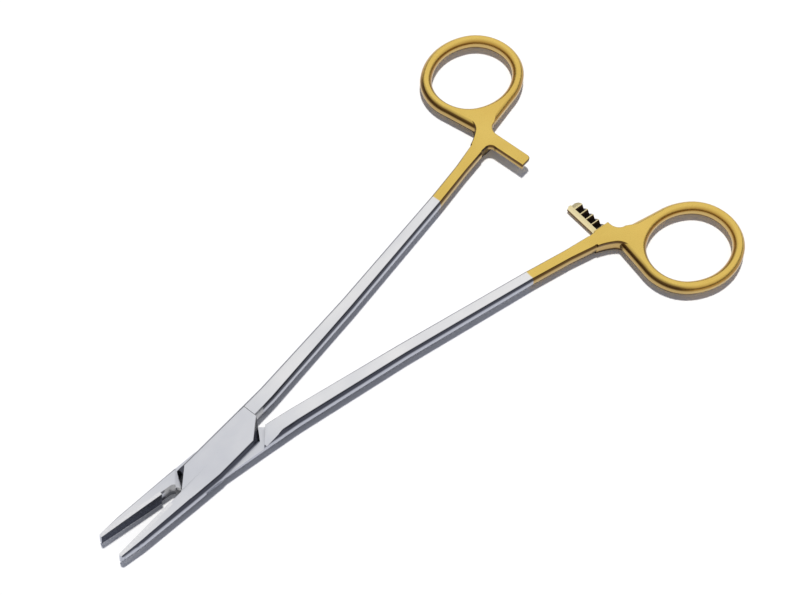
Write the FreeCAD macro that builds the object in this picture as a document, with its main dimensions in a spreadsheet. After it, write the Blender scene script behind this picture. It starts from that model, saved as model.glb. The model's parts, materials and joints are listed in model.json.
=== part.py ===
# Surgical needle holder with a box lock, ring handles and a ratchet, about 200 mm long.
#
# Frame: the hinge axis is Z through the origin, and z = 0 is the flat underside of the box.
# The jaws point along +X and the finger rings lie towards -X.
# Each half is drawn as it lies when the jaws are shut, about the middle plane of the box,
# and is then turned by half of the opening angle and lifted onto z = 0.
#
# In a half, "along" is measured from the hinge axis and "across" from the centre line.
# "own" is the side on which a half carries its ring, and its jaw is on the other side.

import FreeCAD
import Part
import Sketcher
import math
import os

# Driving dimensions, in millimetres and degrees: alias, value, meaning.
SIZES = (
    ("opening_angle", 10.48, "angle between the halves as they lie"),
    ("box_thickness", 5.5, "full thickness of the box, the thickest place"),
    ("box_half_width", 4.1, "centre line to the edge of the box's flat"),
    ("side_roundness", 0.18, "bulge of the rounded sides, as a share of the thickness"),
    ("box_rear", 16.9, "rear end of the box on the centre line"),
    ("box_rear_corner", 13.4, "rear end of the box at its side"),
    ("box_rear_facet", 10.8, "where the rear bevel meets the side on the flat"),
    ("box_front", 11.4, "front end of the box on the centre line"),
    ("box_front_corner", 8.4, "front end of the box at its side"),
    ("box_front_facet", 5.9, "where the front bevel meets the side on the flat"),
    ("box_facet_slope", 47.0, "slope of the bevels at both ends of the box"),
    ("slot_height", 1.5, "height of the slot through the box"),
    ("slot_rear_mouth", 12.2, "rear end of the slot's mouth in the side"),
    ("slot_front_mouth", 7.7, "front end of the slot's mouth in the side"),
    ("tongue_clearance", 0.05, "play over and under the tongue"),
    ("end_clearance", 0.2, "play along the halves at the shoulders"),
    ("shoulder_facet_inner", 17.1, "inner end of the crease of the shoulder bevel"),
    ("shoulder_facet_outer", 19.3, "outer end of the crease of the shoulder bevel"),
    ("shoulder_facet_slope", 17.0, "slope of the shoulder bevel"),
    ("shoulder_facet_length", 5.6, "reach of the shoulder bevel over the tongue root"),
    ("pin_diameter", 3.5, "hinge pin"),
    ("pin_clearance", 0.05, "radial play of the pin in the tongue"),
    ("pin_flare", 0.4, "countersink of the riveted pin ends"),
    ("root_along", 14.0, "shank station inside the box"),
    ("root_inner", 0.35, "inner edge of the flat there"),
    ("root_bulge", 0.25, "rounding of the inner side there"),
    ("upper_run", 10.4, "from there to the station behind the box"),
    ("upper_inner", 0.8, "inner edge of the flat there"),
    ("upper_bulge", 0.6, "rounding of the inner side there"),
    ("upper_outer", 4.2, "outer edge of the flat there"),
    ("upper_thickness", 5.3, "thickness there"),
    ("middle_run", 35.6, "from there to the station in the middle of the shank"),
    ("middle_inner", 3.34, "inner edge of the flat there"),
    ("middle_outer", 6.03, "outer edge of the flat there"),
    ("middle_thickness", 4.69, "thickness there"),
    ("plating_run", 43.7, "from there to where the gold plating ends"),
    ("plating_inner", 6.95, "inner edge of the flat there"),
    ("plating_outer", 9.4, "outer edge of the flat there"),
    ("plating_thickness", 4.2, "thickness there"),
    ("lower_run", 13.3, "from there to the station before the junction"),
    ("lower_inner", 8.3, "inner edge of the flat there"),
    ("lower_outer", 10.85, "outer edge of the flat there"),
    ("lower_bulge", 0.65, "rounding of the sides there"),
    ("junction_run", 9.0, "from there to where the shank runs into the junction plate"),
    ("junction_inner", 8.9, "inner edge of the flat there"),
    ("junction_outer", 12.35, "outer edge of the flat there"),
    ("junction_rounding", 0.5, "rounding of the sides there and of the plate's edges"),
    ("jaw_start", 2.0, "where the jaw starts to taper"),
    ("heel_along", 11.4, "jaw station at the front of the box"),
    ("heel_outer", 3.25, "outer edge of the jaw there"),
    ("heel_thickness", 5.2, "thickness of the jaw there"),
    ("cheek_along", 20.0, "jaw station behind the middle"),
    ("cheek_outer", 2.45, "outer edge of the jaw there"),
    ("cheek_thickness", 4.7, "thickness of the jaw there"),
    ("nose_along", 28.0, "jaw station before the tip"),
    ("nose_outer", 1.7, "outer edge of the jaw there"),
    ("nose_thickness", 4.1, "thickness of the jaw there"),
    ("tip_along", 34.3, "tip of the jaws"),
    ("tip_outer", 0.9, "outer edge of the jaw there"),
    ("tip_thickness", 3.5, "thickness of the jaw there"),
    ("tip_bulge", 0.4, "rounding of the outer side at the tip"),
    ("tip_radius", 0.8, "outer corner of the tip seen from above"),
    ("tip_grip_radius", 0.4, "gripping corner of the tip seen from above"),
    ("insert_start", 15.8, "rear end of the hard inserts"),
    ("insert_thickness", 0.95, "centre line to the back of an insert"),
    ("grip_gap", 0.04, "centre line to a gripping face when shut"),
    ("box_jaw_relief", 0.25, "how far the box half's jaw stands back behind its insert"),
    ("lock_jaw_relief", 0.6, "how far the lock half's jaw stands back behind its insert"),
    ("bar_setback", 3.95, "from the junction to the front side of the ratchet bar"),
    ("bar_width", 4.05, "front side to rear side of the ratchet bar"),
    ("ring_setback", 13.6, "rear side of the bar to the middle of the ring"),
    ("hole_setback", 5.1, "across, outer edge of the shank at the junction to the finger hole"),
    ("hole_half_length", 13.5, "finger hole, along"),
    ("hole_half_width", 10.9, "finger hole, across"),
    ("hole_end_share", 0.9, "radius of the hole's end arcs, as a share of its half width"),
    ("ring_wall", 3.5, "width of the ring's section"),
    ("ring_crest", 0.5, "narrow flat along the top and the underside of the ring"),
    ("ring_thickness", 4.4, "height of the ring and of the junction plate"),
    ("leg_inset", 0.04, "how much slimmer than the ring its legs are, on each side"),
    ("leg_front_angle", 6.8, "where the front leg leaves the ring, past its near end"),
    ("leg_front_length", 13.7, "front leg, from the ring to the shank"),
    ("leg_front_run_out", 5.4, "end of the front leg to where the plate's edge leaves it"),
    ("leg_rear_angle", 7.1, "where the rear leg leaves the ring, past its near side"),
    ("leg_rear_length", 13.1, "rear leg, from the ring to the bar"),
    ("leg_rear_run_out", 5.0, "end of the rear leg to where the plate's edge leaves it"),
    ("heel_setback", 1.1, "front side of the bar to where the heel's curve starts"),
    ("heel_across", 14.93, "start of the heel's curve, across"),
    ("heel_radius", 3.9, "curve from the shank into the front leg"),
    ("heel_sweep_radius", 20.0, "sweep of the shank's outer edge to the heel"),
    ("bar_reach", 3.05, "reach of the bar past the centre line when shut"),
    ("bar_tip_radius", 1.2, "rounding of the rear corner of the bar's end"),
    ("bar_root_radius", 2.0, "fillet of the bar's front side and the shank"),
    ("bar_neck_radius", 3.1, "fillet of the bar's rear side and the ring"),
    ("bar_edge_radius", 1.2, "rounding of the bar's front edge along the teeth"),
    ("bar_step", 8.7, "where the bar steps up to the full thickness"),
    ("tooth_pitch", 2.27, "ratchet tooth to ratchet tooth"),
    ("tooth_depth", 1.2, "depth of the ratchet teeth"),
    ("tooth_inset", 1.0, "front side of the bar to the start of the teeth"),
    ("tooth_lock_run", 0.9, "run of the locking face of a tooth"),
    ("first_crest", 1.3, "outermost tooth crest past the centre line when shut"),
    ("ratchet_gap", 0.05, "middle plane to the tooth crests"),
)
TOOTH_COUNT = 4
BOX_HALF_SIDE = -1
LOCK_HALF_SIDE = 1

# Plain reach of cutting outlines past the metal.
PAST = 8.0

# Places along a half, each one measured on from the one before it.
UPPER = "(sizes.root_along + sizes.upper_run)"
MIDDLE = f"({UPPER} + sizes.middle_run)"
PLATING = f"({MIDDLE} + sizes.plating_run)"
LOWER = f"({PLATING} + sizes.lower_run)"
JUNCTION = f"({LOWER} + sizes.junction_run)"
BAR_FRONT = f"({JUNCTION} + sizes.bar_setback)"
BAR_REAR = f"({BAR_FRONT} + sizes.bar_width)"
RING_ALONG = f"({BAR_REAR} + sizes.ring_setback)"
RING_ACROSS = "(sizes.junction_outer + sizes.hole_setback + sizes.hole_half_width)"

# The finger hole is an oval of four arcs, and the ring's middle line runs round it.
END_RADIUS = "(sizes.hole_end_share * sizes.hole_half_width)"
END_SHIFT = f"(sizes.hole_half_length - {END_RADIUS})"
SIDE_RADIUS = (
    f"(({END_SHIFT} ^ 2 + sizes.hole_half_width ^ 2 - {END_RADIUS} ^ 2)"
    f" / (2 * (sizes.hole_half_width - {END_RADIUS})))"
)
SIDE_SHIFT = f"({SIDE_RADIUS} - sizes.hole_half_width)"
END_SWEEP = f"2 * atan2({SIDE_SHIFT}; {END_SHIFT})"
SIDE_SWEEP = f"2 * atan2({END_SHIFT}; {SIDE_SHIFT})"
END_LINE = f"({END_RADIUS} + sizes.ring_wall / 2)"
SIDE_LINE = f"({SIDE_RADIUS} + sizes.ring_wall / 2)"

doc = FreeCAD.newDocument("needle_holder")
sheet = doc.addObject("Spreadsheet::Sheet", "sizes")
for row, (alias, value, meaning) in enumerate(SIZES, start=1):
    sheet.set(f"A{row}", meaning)
    sheet.set(f"B{row}", str(value))
    sheet.setAlias(f"B{row}", alias)
doc.recompute()


def number(text):
    """Value of an expression on the sheet."""
    return float(sheet.evalExpression(text))


def origin_plane(body, role):
    return next(f for f in body.Origin.OriginFeatures if f.Role == role)


def new_sketch(body, name, role, offset=None, turn=None):
    """Sketch on an origin plane; offset and turn map attachment paths to expressions."""
    sketch = body.newObject("Sketcher::SketchObject", name)
    sketch.AttachmentSupport = (origin_plane(body, role), "")
    sketch.MapMode = "FlatFace"
    for axis, text in (offset or {}).items():
        sketch.setExpression(f"AttachmentOffset.Base.{axis}", text)
    for angle, text in (turn or {}).items():
        sketch.setExpression(f"AttachmentOffset.Rotation.{angle}", text)
    return sketch


def bind(sketch, kind, places, text):
    """Constraint whose value follows an expression."""
    index = sketch.addConstraint(Sketcher.Constraint(kind, *places, number(text)))
    sketch.setExpression(f"Constraints[{index}]", text)


def arc_between(start, end, radius, turn):
    """Short arc from start to end; turn is 1 for a left turn and -1 for a right turn."""
    chord = end - start
    middle = (start + end) * 0.5
    left = FreeCAD.Vector(-chord.y, chord.x, 0).normalize()
    rise = math.sqrt(max(radius**2 - chord.Length**2 / 4, 0.0))
    centre = middle + left * (rise * turn)
    first, last = (start, end) if turn > 0 else (end, start)
    angles = [math.atan2(p.y - centre.y, p.x - centre.x) for p in (first, last)]
    circle = Part.Circle(centre, FreeCAD.Vector(0, 0, 1), radius)
    return Part.ArcOfCircle(circle, *angles)


def draw_outline(sketch, corners, arcs=None):
    """Closed outline through corners given as pairs of expressions.

    arcs maps the number of an edge to its radius expression and its turn.
    """
    arcs = arcs or {}
    points = [FreeCAD.Vector(number(x), number(y), 0) for x, y in corners]
    ends = []
    for index, start in enumerate(points):
        end = points[(index + 1) % len(points)]
        if index in arcs:
            radius, turn = arcs[index]
            edge = sketch.addGeometry(arc_between(start, end, number(radius), turn))
            ends.append((edge, 1, 2) if turn > 0 else (edge, 2, 1))
        else:
            edge = sketch.addGeometry(Part.LineSegment(start, end))
            ends.append((edge, 1, 2))
    for index, (edge, first, last) in enumerate(ends):
        following, next_first, _ = ends[(index + 1) % len(ends)]
        sketch.addConstraint(Sketcher.Constraint("Coincident", edge, last, following, next_first))
        x, y = corners[index]
        bind(sketch, "DistanceX", (-1, 1, edge, first), x)
        bind(sketch, "DistanceY", (-1, 1, edge, first), y)
        if index in arcs:
            bind(sketch, "Radius", (edge,), arcs[index][0])


def add_pad(body, name, sketch, length, midplane=False):
    pad = body.newObject("PartDesign::Pad", name)
    pad.Profile = sketch
    pad.Midplane = midplane
    pad.setExpression("Length", length)
    return pad


def add_pocket(body, name, sketch, length, midplane=False, upward=False):
    """Cut on both sides, downward from the sketch, or upward from it."""
    pocket = body.newObject("PartDesign::Pocket", name)
    pocket.Profile = sketch
    pocket.Midplane = midplane
    pocket.Reversed = upward
    pocket.setExpression("Length", length)
    return pocket


def add_mirror_copies(body, name, cuts):
    """The same cuts on the underside."""
    mirror = body.newObject("PartDesign::Mirrored", name)
    mirror.Originals = cuts
    mirror.MirrorPlane = (origin_plane(body, "XY_Plane"), [""])
    body.Tip = mirror
    return mirror


def bulge_radius(thickness, bulge):
    """Expression for the radius of a rounded side."""
    return f"(({thickness}) ^ 2 / 4 + ({bulge}) ^ 2) / (2 * ({bulge}))"


def side_bulge(thickness):
    """Expression for how far a rounded side stands out past the flats."""
    return f"sizes.side_roundness * ({thickness})"


def cross_section(body, name, along, inner, outer, thickness, inner_bulge, outer_bulge, side):
    """Section across a half: flat top and underside between inner and outer.

    A side whose bulge is None is plain.
    """
    sketch = new_sketch(body, name, "YZ_Plane", {"z": along})
    half = f"({thickness}) / 2"
    inner_y = f"{side} * ({inner})"
    outer_y = f"{side} * ({outer})"
    corners = ((inner_y, half), (outer_y, half), (outer_y, f"-{half}"), (inner_y, f"-{half}"))
    arcs = {}
    if outer_bulge:
        arcs[1] = (bulge_radius(thickness, outer_bulge), -side)
    if inner_bulge:
        arcs[3] = (bulge_radius(thickness, inner_bulge), -side)
    draw_outline(sketch, corners, arcs)
    return sketch


def add_loft(body, name, sections):
    loft = body.newObject("PartDesign::AdditiveLoft", name)
    loft.Profile = sections[0]
    loft.Sections = sections[1:]
    loft.Ruled = True
    return loft


def own(along, across, side):
    """Corner at a distance behind the hinge and on a half's own side."""
    return (f"-({along})", f"{side} * ({across})")


def arc_centre(arc):
    """Centre of one of the ring's four arcs, along and across."""
    centres = {
        "near_end": (f"({RING_ALONG} - {END_SHIFT})", RING_ACROSS),
        "far_end": (f"({RING_ALONG} + {END_SHIFT})", RING_ACROSS),
        "near_side": (RING_ALONG, f"({RING_ACROSS} + {SIDE_SHIFT})"),
        "far_side": (RING_ALONG, f"({RING_ACROSS} - {SIDE_SHIFT})"),
    }
    return centres[arc]


def ring_section(body, name, arc, heading, inset, side):
    """Rounded section of the ring, on the plane through an arc's centre at a heading."""
    along, across = arc_centre(arc)
    line = END_LINE if arc.endswith("end") else SIDE_LINE
    sketch = new_sketch(
        body, f"{name}_section", "XY_Plane",
        {"x": f"-{along}", "y": f"{side} * {across}"},
        {"Yaw": heading, "Roll": "90"},
    )
    top = "sizes.ring_thickness / 2"
    near = f"{line} - sizes.ring_crest / 2 + {inset}"
    far = f"{line} + sizes.ring_crest / 2 - {inset}"
    radius = bulge_radius("sizes.ring_thickness", "(sizes.ring_wall - sizes.ring_crest) / 2")
    corners = ((near, top), (far, top), (far, f"-{top}"), (near, f"-{top}"))
    draw_outline(sketch, corners, {1: (radius, -1), 3: (radius, -1)})
    return sketch


def add_ring(body, side):
    """Finger ring: four tangent arcs of one rounded section, and two straight legs."""
    arcs = (
        ("near_end", "0", END_SWEEP),
        ("near_side", f"{-side} * 90", SIDE_SWEEP),
        ("far_end", "180", END_SWEEP),
        ("far_side", f"{side} * 90", SIDE_SWEEP),
    )
    for arc, heading, sweep in arcs:
        section = ring_section(body, arc, arc, heading, "0", side)
        turn = body.newObject("PartDesign::Revolution", f"{arc}_arc")
        turn.Profile = section
        turn.ReferenceAxis = (section, ["V_Axis"])
        turn.Midplane = True
        turn.setExpression("Angle", sweep)
    legs = (
        ("front_leg", "near_end", f"{-side} * sizes.leg_front_angle", "sizes.leg_front_length", side < 0),
        ("rear_leg", "near_side", f"{-side} * (90 + sizes.leg_rear_angle)", "sizes.leg_rear_length", side > 0),
    )
    for name, arc, heading, length, reverse in legs:
        section = ring_section(body, name, arc, heading, "sizes.leg_inset", side)
        leg = add_pad(body, name, section, length)
        leg.Reversed = reverse


def on_front_leg(reach, beside="0"):
    """Point at a distance from the ring on the front leg's middle line, or beside it."""
    along, across = arc_centre("near_end")
    turn = "sizes.leg_front_angle"
    line = f"({END_LINE} + {beside})"
    return (
        f"({along} - {line} * cos({turn}) + ({reach}) * sin({turn}))",
        f"({across} - {line} * sin({turn}) - ({reach}) * cos({turn}))",
    )


def on_rear_leg(reach):
    """Point of the rear leg's middle line at a distance from the ring, along and across."""
    along, across = arc_centre("near_side")
    turn = "sizes.leg_rear_angle"
    return (
        f"({along} + {SIDE_LINE} * sin({turn}) - ({reach}) * cos({turn}))",
        f"({across} - {SIDE_LINE} * cos({turn}) - ({reach}) * sin({turn}))",
    )


def rear_leg_edge(along):
    """Across position of the rear leg's outer edge at a place along."""
    centre_along, centre_across = arc_centre("near_side")
    turn = "sizes.leg_rear_angle"
    reach = f"({SIDE_LINE} + sizes.ring_wall / 2 - (({along}) - {centre_along}) * sin({turn}))"
    return f"({centre_across} - {reach} / cos({turn}))"


def flat_edges(pad, corners, picks):
    """Names of a pad's upper and lower edges that start at the picked corners of its outline."""
    points = [FreeCAD.Vector(number(x), number(y), 0) for x, y in corners]
    names = []
    for index, edge in enumerate(pad.Shape.Edges, start=1):
        first, last = (FreeCAD.Vector(v.X, v.Y, 0) for v in (edge.Vertexes[0], edge.Vertexes[-1]))
        for pick in picks:
            start, end = points[pick], points[(pick + 1) % len(points)]
            along = first.isEqual(start, 1e-4) and last.isEqual(end, 1e-4)
            back = first.isEqual(end, 1e-4) and last.isEqual(start, 1e-4)
            if along or back:
                names.append(f"Edge{index}")
    return names


def add_junction(body, side):
    """Flat plate that joins shank and ratchet bar and fills the gap between the ring's legs."""
    sketch = new_sketch(body, "junction_plan", "XY_Plane")
    neck_end = f"({BAR_REAR} + sizes.bar_neck_radius)"
    near_along, near_across = arc_centre("near_end")
    slant = f"({SIDE_RADIUS} - {END_RADIUS})"
    corners = [
        own(JUNCTION, "sizes.junction_inner", side),
        own(f"{BAR_FRONT} - sizes.bar_root_radius", "sizes.junction_inner", side),
        own(BAR_FRONT, "sizes.junction_inner - sizes.bar_root_radius", side),
        own(BAR_FRONT, "-sizes.bar_reach", side),
        own(f"{BAR_REAR} - sizes.bar_tip_radius", "-sizes.bar_reach", side),
        own(BAR_REAR, "sizes.bar_tip_radius - sizes.bar_reach", side),
        own(BAR_REAR, f"{rear_leg_edge(neck_end)} - sizes.bar_neck_radius", side),
        own(neck_end, rear_leg_edge(neck_end), side),
        own(*on_rear_leg("sizes.leg_rear_length - sizes.leg_rear_run_out"), side),
        own(*on_rear_leg("0"), side),
        own(
            f"{near_along} - {END_LINE} * {END_SHIFT} / {slant}",
            f"{near_across} - {END_LINE} * {SIDE_SHIFT} / {slant}", side,
        ),
        own(*on_front_leg("0"), side),
        own(*on_front_leg("sizes.leg_front_length - sizes.leg_front_run_out"), side),
        own(*on_front_leg("sizes.leg_front_length - sizes.leg_front_run_out", "sizes.junction_rounding"), side),
        own(f"{BAR_FRONT} + sizes.heel_setback", "sizes.heel_across", side),
        own(JUNCTION, "sizes.junction_outer + sizes.junction_rounding", side),
    ]
    arcs = {
        1: ("sizes.bar_root_radius", side),
        4: ("sizes.bar_tip_radius", -side),
        6: ("sizes.bar_neck_radius", side),
        9: (SIDE_LINE, side),
        10: (END_LINE, side),
        13: ("sizes.heel_radius", side),
        14: ("sizes.heel_sweep_radius", side),
    }
    draw_outline(sketch, corners, arcs)
    plate = add_pad(body, "junction", sketch, "sizes.ring_thickness", midplane=True)
    doc.recompute()
    rounding = body.newObject("PartDesign::Fillet", "junction_edges")
    rounding.Base = (plate, flat_edges(plate, corners, (3, 4, 5, 6, 7, 13, 14)))
    rounding.setExpression("Radius", "sizes.junction_rounding")
    return rounding


def add_shank(body, side):
    """Slender shank with rounded sides, lofted through its stations."""
    plain = None
    stations = (
        ("junction", JUNCTION, "sizes.ring_thickness", "sizes.junction_rounding", "sizes.junction_rounding"),
        ("lower", LOWER, "sizes.plating_thickness", "sizes.lower_bulge", "sizes.lower_bulge"),
        ("plating", PLATING, "sizes.plating_thickness", plain, plain),
        ("middle", MIDDLE, "sizes.middle_thickness", plain, plain),
        ("upper", UPPER, "sizes.upper_thickness", "sizes.upper_bulge", plain),
        ("root", "sizes.root_along", "sizes.box_thickness", "sizes.root_bulge", plain),
    )
    sections = []
    for name, along, thickness, inner_bulge, outer_bulge in stations:
        outer = "sizes.box_half_width" if name == "root" else f"sizes.{name}_outer"
        section = cross_section(
            body, f"{name}_section", f"-{along}", f"sizes.{name}_inner", outer,
            thickness, inner_bulge or side_bulge(thickness), outer_bulge or side_bulge(thickness), side,
        )
        sections.append(section)
    return add_loft(body, "shank", sections)


def add_box(body, side):
    """Block of the box: full width up to the jaw, and the own side's strip to the front."""
    block = cross_section(
        body, "box_section", "-sizes.box_rear", "-sizes.box_half_width", "sizes.box_half_width",
        "sizes.box_thickness", side_bulge("sizes.box_thickness"), side_bulge("sizes.box_thickness"), side,
    )
    add_pad(body, "box_block", block, "sizes.box_rear + sizes.jaw_start")
    strip = cross_section(
        body, "strip_section", "sizes.jaw_start - 0.5", "-0.2", "sizes.box_half_width",
        "sizes.box_thickness", None, side_bulge("sizes.box_thickness"), side,
    )
    return add_pad(body, "box_strip", strip, "sizes.box_front - sizes.jaw_start + 0.5")


def jaw_sections(body, side, inner, outer, rounded):
    """Sections of a jaw from the box to the tip, between inner and outer."""
    stations = (
        ("start", "sizes.jaw_start", "sizes.box_half_width", "sizes.box_thickness"),
        ("heel", "sizes.heel_along", "sizes.heel_outer", "sizes.heel_thickness"),
        ("cheek", "sizes.cheek_along", "sizes.cheek_outer", "sizes.cheek_thickness"),
        ("nose", "sizes.nose_along", "sizes.nose_outer", "sizes.nose_thickness"),
        ("tip", "sizes.tip_along", "sizes.tip_outer", "sizes.tip_thickness"),
    )
    sections = []
    for name, along, jaw_outer, thickness in stations:
        bulge = "sizes.tip_bulge" if name == "tip" else side_bulge(thickness)
        section = cross_section(
            body, f"jaw_{name}_section", along, inner, outer or jaw_outer,
            thickness, None, bulge if rounded else None, -side,
        )
        sections.append(section)
    return sections


def cut_plan(body, name, corners, arcs=None):
    """Cut through the full thickness along a plan outline."""
    sketch = new_sketch(body, f"{name}_plan", "XY_Plane")
    draw_outline(sketch, corners, arcs)
    return add_pocket(body, name, sketch, "4 * sizes.box_thickness", midplane=True)


def slanted(end, corner, reach):
    """Along position, at an across reach, of a slanted end from the centre line to the side."""
    return f"({end}) - (({end}) - ({corner})) * {reach} / sizes.box_half_width"


def trim_ends(body, side, rear, rear_corner, front, front_corner):
    """Slanted ends: the rear one on the jaw's side, the front one on the own side."""
    jaw = -side
    cut_plan(body, "rear_end", (
        (f"-({rear})", "0"),
        (f"-({slanted(rear, rear_corner, PAST)})", f"{jaw * PAST}"),
        (f"-({rear} + {PAST})", f"{jaw * PAST}"),
        (f"-({rear} + {PAST})", "0"),
    ))
    cut_plan(body, "front_end", (
        (front, "0"),
        (slanted(front, front_corner, PAST), f"{side * PAST}"),
        (f"{front} + {PAST}", f"{side * PAST}"),
        (f"{front} + {PAST}", "0"),
    ))


def bevel(body, name, start, end, height, slope, before, length, width):
    """Sloping cut that starts on the line from start to end and falls away to its left."""
    (start_x, start_y), (end_x, end_y) = start, end
    heading = f"atan2(({end_y}) - ({start_y}); ({end_x}) - ({start_x}))"
    sketch = new_sketch(
        body, f"{name}_plan", "XY_Plane",
        {"x": start_x, "y": start_y, "z": height},
        {"Yaw": heading, "Roll": f"-({slope})"},
    )
    corners = ((f"-{before}", "0"), (length, "0"), (length, width), (f"-{before}", width))
    draw_outline(sketch, corners)
    return add_pocket(body, name, sketch, "sizes.box_thickness", upward=True)


def cut_ratchet(body, side):
    """Half the bar's thickness and the teeth: the box half keeps the top, the lock half the bottom."""
    up = -side
    crest = f"{up} * sizes.ratchet_gap"
    valley = f"{up} * (sizes.ratchet_gap + sizes.tooth_depth)"
    clear = f"{-up} * sizes.ring_thickness"
    end = "sizes.bar_reach + 0.2"

    def cut_across(name, start, profile):
        sketch = new_sketch(body, f"{name}_profile", "YZ_Plane", {"z": f"-({start})"})
        draw_outline(sketch, [(f"{-side} * ({past})", height) for past, height in profile])
        return add_pocket(body, name, sketch, "sizes.bar_width + sizes.bar_root_radius + 1.2")

    step = "-sizes.bar_step"
    cut_across(
        "bar_step", f"{BAR_FRONT} - sizes.bar_root_radius - 0.3",
        ((step, clear), (step, crest), (end, crest), (end, clear)),
    )
    innermost = f"sizes.first_crest - {TOOTH_COUNT} * sizes.tooth_pitch"
    teeth = [(innermost, f"{-up}"), (innermost, crest)]
    for tooth in range(TOOTH_COUNT - 1, -1, -1):
        tip = f"sizes.first_crest - {tooth} * sizes.tooth_pitch"
        teeth.append((f"{tip} - sizes.tooth_lock_run", valley))
        teeth.append((tip, crest))
    teeth.append((end, f"{up} * (sizes.ratchet_gap + 0.8 * sizes.tooth_depth)"))
    teeth.append((end, f"{-up}"))
    cut_across("ratchet_teeth", f"{BAR_FRONT} + sizes.tooth_inset", teeth)

    edge = new_sketch(
        body, "bar_edge_profile", "XZ_Plane", {"z": f"{side} * (sizes.bar_reach + 0.2)"}
    )
    radius = "sizes.bar_edge_radius"
    rounding = (
        (f"-{BAR_FRONT}", f"{crest} + {up} * {radius}"),
        (f"-{BAR_FRONT} - {radius}", crest),
        (f"-{BAR_FRONT} - {radius}", f"{-up}"),
        (f"-{BAR_FRONT} + 1", f"{-up}"),
        (f"-{BAR_FRONT} + 1", f"{crest} + {up} * {radius}"),
    )
    draw_outline(edge, rounding, {0: (radius, up)})
    reach = "sizes.bar_reach + 0.2 + sizes.junction_inner - sizes.bar_root_radius"
    pocket = add_pocket(body, "bar_edge", edge, reach)
    pocket.Reversed = side > 0
    return pocket


def round_tip(body, side):
    """Rounding of a jaw's end seen from above."""
    jaw = -side
    shoulder = "sizes.tip_outer + sizes.tip_bulge"
    corners = (
        ("sizes.tip_along - sizes.tip_radius", f"{jaw} * ({shoulder})"),
        ("sizes.tip_along", f"{jaw} * ({shoulder} - sizes.tip_radius)"),
        ("sizes.tip_along", f"{jaw} * sizes.tip_grip_radius"),
        ("sizes.tip_along - sizes.tip_grip_radius", "0"),
        ("sizes.tip_along - sizes.tip_grip_radius", f"{-jaw}"),
        (f"sizes.tip_along + {PAST}", f"{-jaw}"),
        (f"sizes.tip_along + {PAST}", f"{jaw * PAST}"),
        ("sizes.tip_along - sizes.tip_radius", f"{jaw * PAST}"),
    )
    arcs = {0: ("sizes.tip_radius", side), 2: ("sizes.tip_grip_radius", side)}
    cut_plan(body, "tip_rounding", corners, arcs)


def seat_insert(body, side, relief):
    """Seat of the hard insert and the relief behind it."""
    jaw = -side
    cut_plan(body, "insert_seat", (
        ("sizes.insert_start", f"{-jaw}"),
        (f"sizes.tip_along + {PAST}", f"{-jaw}"),
        (f"sizes.tip_along + {PAST}", f"{jaw} * sizes.insert_thickness"),
        ("sizes.insert_start", f"{jaw} * sizes.insert_thickness"),
    ))
    cut_plan(body, "jaw_relief", (
        ("sizes.box_front + sizes.end_clearance", f"{-jaw}"),
        ("sizes.insert_start", f"{-jaw}"),
        ("sizes.insert_start", f"{jaw} * {relief}"),
        (f"sizes.box_front + sizes.end_clearance + 2 * {relief}", f"{jaw} * {relief}"),
        ("sizes.box_front + sizes.end_clearance", "0"),
    ), {3: (f"2.5 * {relief}", -side)})


def pin_profile(body):
    """Half section of the riveted pin on the XZ plane."""
    sketch = new_sketch(body, "pin_profile", "XZ_Plane")
    radius = "sizes.pin_diameter / 2"
    top = "sizes.box_thickness / 2"
    draw_outline(sketch, (
        ("0", f"-{top}"),
        (f"{radius} + sizes.pin_flare", f"-{top}"),
        (radius, f"sizes.pin_flare - {top}"),
        (radius, f"{top} - sizes.pin_flare"),
        (f"{radius} + sizes.pin_flare", top),
        ("0", top),
    ))
    return sketch


def turn_about_hinge(body, kind, name):
    """Full turn of the pin's half section about the hinge axis, as metal or as a cut."""
    feature = body.newObject(f"PartDesign::{kind}", name)
    feature.Profile = pin_profile(body)
    feature.ReferenceAxis = (feature.Profile[0], ["V_Axis"])
    feature.Angle = 360
    return feature


def new_body(name, turn):
    """Body of one piece, lifted onto z = 0 and turned about the hinge axis."""
    body = doc.addObject("PartDesign::Body", name)
    body.Label = name
    body.setExpression(".Placement.Base.z", "sizes.box_thickness / 2")
    if turn:
        body.setExpression(".Placement.Rotation.Yaw", f"{turn} * sizes.opening_angle / 2")
    return body


def forge_half(name, side):
    """What both halves share: ring, junction, shank, box block and jaw."""
    body = new_body(name, -side)
    add_junction(body, side)
    add_ring(body, side)
    add_shank(body, side)
    add_box(body, side)
    add_loft(body, "jaw", jaw_sections(body, side, "0", None, rounded=True))
    cut_ratchet(body, side)
    round_tip(body, side)
    return body


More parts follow.
